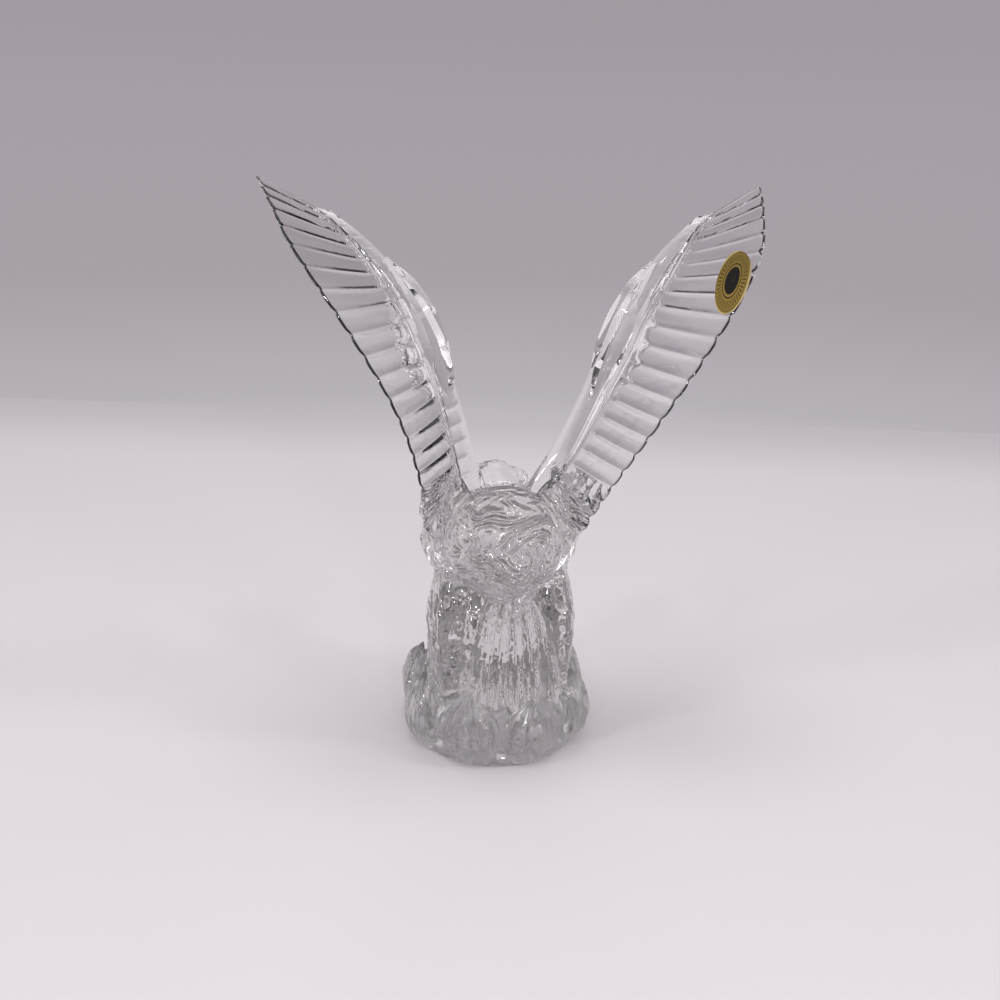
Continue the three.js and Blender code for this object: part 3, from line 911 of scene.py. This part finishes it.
seal = shaped_ball("seal", 72, 40, seal_recipe)
seal_points = read_points(seal)
flat = seal_points - seal_points.mean(0)
plane = np.stack([flat @ level / SEAL_WIDTH + 0.5, flat @ upright / SEAL_LENGTH + 0.5], axis=-1)
uv = seal.data.uv_layers[0] if seal.data.uv_layers else seal.data.uv_layers.new(name="seal")
corner = np.empty(len(seal.data.loops), int)
seal.data.loops.foreach_get("vertex_index", corner)
uv.data.foreach_set("uv", plane[corner].ravel())
for polygon in seal.data.polygons:
    polygon.use_smooth = True
print("seal, mm:", SEAL_WIDTH * 1000, "by", SEAL_LENGTH * 1000)

# %% [markdown]
# The print is drawn on the seal's own flat map. The distance from its middle picks the ring and the
# bearing round it makes the ticks. Foil is metal under a clear film, so it isn't quite full metal,
# and a fine grain in its roughness breaks up the shine.

# %% Printed gold foil
foil = bpy.data.materials.new("gold_foil")
foil.use_nodes = True
nodes, links = foil.node_tree.nodes, foil.node_tree.links
shader = nodes["Principled BSDF"]
shader.inputs["Metallic"].default_value = 0.75
own_map = nodes.new("ShaderNodeUVMap")
own_map.uv_map = uv.name
parts = nodes.new("ShaderNodeSeparateXYZ")
links.new(own_map.outputs["UV"], parts.inputs[0])
side_to_side = math_step("MULTIPLY_ADD", parts.outputs["X"], 2, -1)
foot_to_top = math_step("MULTIPLY_ADD", parts.outputs["Y"], 2, -1)
square = math_step("ADD", math_step("POWER", side_to_side, 2), math_step("POWER", foot_to_top, 2))
reach = math_step("SQRT", square)
bearing = math_step("ARCTAN2", foot_to_top, side_to_side)
ticks = math_step("GREATER_THAN", math_step("SINE", product(bearing, 40)), 0.1)
in_ring = math_step("MULTIPLY", math_step("GREATER_THAN", reach, 0.6), math_step("LESS_THAN", reach, 0.84))
bands = nodes.new("ShaderNodeValToRGB")
bands.color_ramp.interpolation = "CONSTANT"
gold, dark, pale = (0.27, 0.185, 0.04, 1), (0.012, 0.01, 0.008, 1), (0.5, 0.4, 0.2, 1)
steps = [(0, dark), (0.42, gold), (0.5, dark), (0.54, gold), (0.88, dark), (0.9, gold), (0.95, pale)]
while len(bands.color_ramp.elements) < len(steps):
    bands.color_ramp.elements.new(0.5)
for element, (spot, colour) in zip(bands.color_ramp.elements, steps):
    element.position = spot
    element.color = colour
links.new(reach, bands.inputs["Fac"])
printed = nodes.new("ShaderNodeMix")
printed.data_type = "RGBA"
links.new(math_step("MULTIPLY", math_step("MULTIPLY", ticks, in_ring), 0.8), printed.inputs["Factor"])
links.new(bands.outputs["Color"], printed.inputs[6])
printed.inputs[7].default_value = (0.05, 0.035, 0.012, 1)
links.new(printed.outputs[2], shader.inputs["Base Color"])
grain = nodes.new("ShaderNodeTexNoise")
grain.inputs["Scale"].default_value = 900
place_on = nodes.new("ShaderNodeTexCoord")
links.new(place_on.outputs["Object"], grain.inputs["Vector"])
links.new(math_step("MULTIPLY_ADD", grain.outputs["Fac"], 0.25, 0.28), shader.inputs["Roughness"])

seal.data.materials.clear()
seal.data.materials.append(foil)
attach(seal, "root")
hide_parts("foil_seal")
print("printed rings:", len(steps))

# %% [markdown]
# The figure stands on a pale table top. Its far edge runs a little aslant, as in the photograph,
# and a painted shade darkens the top softly towards that edge, so it melts into the grey room behind it.

# %% Table top
TABLE_BACK = 0.39
TABLE_HALF = 0.6
TABLE_TURN = math.radians(-7.3)
deselect()
bpy.ops.mesh.primitive_grid_add(x_subdivisions=2, y_subdivisions=2, size=2 * TABLE_HALF)
table = bpy.context.active_object
table.name = "table"
turn_table = Matrix.Rotation(TABLE_TURN, 4, "Z")
table.matrix_world = turn_table @ Matrix.Translation((0, TABLE_BACK - TABLE_HALF, -0.0003))
bpy.ops.object.transform_apply(location=True, rotation=True, scale=True)

paper = bpy.data.materials.new("pale_table")
paper.use_nodes = True
nodes, links = paper.node_tree.nodes, paper.node_tree.links
shader = nodes["Principled BSDF"]
shader.inputs["Roughness"].default_value = 0.55
spot_on = nodes.new("ShaderNodeTexCoord")
straight = nodes.new("ShaderNodeMapping")
straight.inputs["Rotation"].default_value = (0, 0, -TABLE_TURN)
links.new(spot_on.outputs["Object"], straight.inputs["Vector"])
axes = nodes.new("ShaderNodeSeparateXYZ")
links.new(straight.outputs["Vector"], axes.inputs[0])
# Painted shade: the top's pale colour turns to a darker grey over the last 12 cm before its far edge.
far_edge_shade = nodes.new("ShaderNodeMapRange")
far_edge_shade.interpolation_type = "SMOOTHSTEP"
far_edge_shade.inputs["From Min"].default_value = TABLE_BACK - 0.12
far_edge_shade.inputs["From Max"].default_value = TABLE_BACK
links.new(axes.outputs["Y"], far_edge_shade.inputs["Value"])
tone = nodes.new("ShaderNodeMix")
tone.data_type = "RGBA"
tone.inputs[6].default_value = (0.58, 0.552, 0.572, 1)
tone.inputs[7].default_value = (0.475, 0.445, 0.475, 1)
links.new(far_edge_shade.outputs["Result"], tone.inputs["Factor"])
links.new(tone.outputs[2], shader.inputs["Base Color"])
table.data.materials.append(paper)
print("table edge behind the figure, m:", TABLE_BACK)

# %% [markdown]
# Clear glass is drawn by what stands around it. From the table up to eye level the room is an even
# grey, so that the figure reads against it, and above that lies a bright ceiling with darker
# patches, which the ribs and the grooves pick up as light and dark lines.

# %% Room seen from the figure
world = bpy.data.worlds.new("studio")
bpy.context.scene.world = world
world.use_nodes = True
nodes, links = world.node_tree.nodes, world.node_tree.links
outlook = nodes.new("ShaderNodeTexCoord").outputs["Generated"]
split = nodes.new("ShaderNodeSeparateXYZ")
links.new(outlook, split.inputs[0])
x_now, y_now, z_now = split.outputs
sky = nodes.new("ShaderNodeValToRGB")
tones = [
    (0.355, (0.56, 0.53, 0.56, 1)), (0.364, (0.527, 0.491, 0.533, 1)), (0.374, (0.474, 0.445, 0.479, 1)),
    (0.39, (0.452, 0.42, 0.455, 1)), (0.402, (0.428, 0.395, 0.43, 1)), (0.425, (0.39, 0.355, 0.39, 1)),
    (0.56, (0.376, 0.337, 0.376, 1)), (0.66, (0.75, 0.73, 0.75, 1)), (1.0, (1.05, 1.03, 1.05, 1)),
]
while len(sky.color_ramp.elements) < len(tones):
    sky.color_ramp.elements.new(0.5)
for element, (spot, colour) in zip(sky.color_ramp.elements, tones):
    element.position = spot
    element.color = colour
links.new(math_step("MULTIPLY_ADD", z_now, 0.5, 0.5), sky.inputs["Fac"])
patches = math_step("MULTIPLY_ADD", ramp(noise_of(outlook, 2.6, 1.0), 0.38, 0.5), 0.8, 0.4)
overhead = ramp(z_now, 0.12, 0.3)
brightness = math_step("ADD", product(patches, overhead), math_step("SUBTRACT", 1.0, overhead))
links.new(brightness, nodes["Background"].inputs["Strength"])
print("tones from table to ceiling:", len(tones))

# %% [markdown]
# Three parts of the room differ. The wall behind the figure stays grey high up, or the body would
# look white. The two sides are bright and give the wings their light bands. The room behind the
# viewer is dark, and draws the dark lines in thick glass. The last two only show in the glass.

# %% Wall, sides and the dark behind the viewer
def mixed(factor, base, colour):
    node = nodes.new("ShaderNodeMix")
    node.data_type = "RGBA"
    links.new(factor, node.inputs["Factor"])
    links.new(base, node.inputs[6])
    node.inputs[7].default_value = colour
    return node.outputs[2]


in_glass_only = math_step("SUBTRACT", 1.0, nodes.new("ShaderNodeLightPath").outputs["Is Camera Ray"])
over_table = ramp(z_now, -0.02, 0.08)
high_wall = product(ramp(y_now, 0.1, 0.45), ramp(z_now, 0.8, 0.6), over_table)
bright_sides = product(ramp(math_step("ABSOLUTE", x_now), 0.6, 0.85), over_table, in_glass_only)
dark_behind = product(ramp(y_now, -0.25, -0.6), ramp(z_now, 0.6, 0.4), in_glass_only)
surroundings = mixed(high_wall, sky.outputs["Color"], (0.36, 0.325, 0.36, 1))
surroundings = mixed(bright_sides, surroundings, (0.9, 0.87, 0.9, 1))
surroundings = mixed(dark_behind, surroundings, (0.07, 0.066, 0.068, 1))
links.new(surroundings, nodes["Background"].inputs["Color"])
print("parts of the room: wall, sides, dark behind the viewer")

# %% [markdown]
# One wide soft lamp overhead lights the table and casts the faint shadow. The others are small, so
# that they show as glints on the leaves, the coverts and the rump. The view transform is the plain
# one, so that the greys come out as they are set.

# %% Lamps
def soft_light(name, spot, aim, size, power):
    data = bpy.data.lights.new(name, "AREA")
    data.shape = "DISK"
    data.size = size
    data.energy = power
    lamp = bpy.data.objects.new(name, data)
    bpy.context.scene.collection.objects.link(lamp)
    direction = Vector(aim) - Vector(spot)
    lamp.matrix_world = Matrix.Translation(spot) @ direction.to_track_quat("-Z", "Y").to_matrix().to_4x4()
    return lamp


lamps = [
    soft_light("top_light", (-0.1, -0.15, 1.1), (0, 0.05, 0.05), 0.5, 4),
    soft_light("left_light", (-0.7, -0.5, 0.8), (0, 0, 0.08), 0.12, 1.5),
    soft_light("right_light", (0.75, -0.35, 0.7), (0, 0, 0.08), 0.12, 1.5),
    soft_light("low_left_light", (-0.6, -0.5, 0.17), (0, 0, 0.03), 0.07, 0.8),
    soft_light("low_right_light", (0.5, -0.6, 0.2), (0, 0, 0.03), 0.07, 0.8),
    soft_light("low_back_light", (0.12, -0.85, 0.42), (0, 0, 0.03), 0.08, 0.8),
]
bpy.context.scene.view_settings.view_transform = "Standard"
bpy.context.scene.view_settings.look = "None"
print("lamps:", len(lamps))
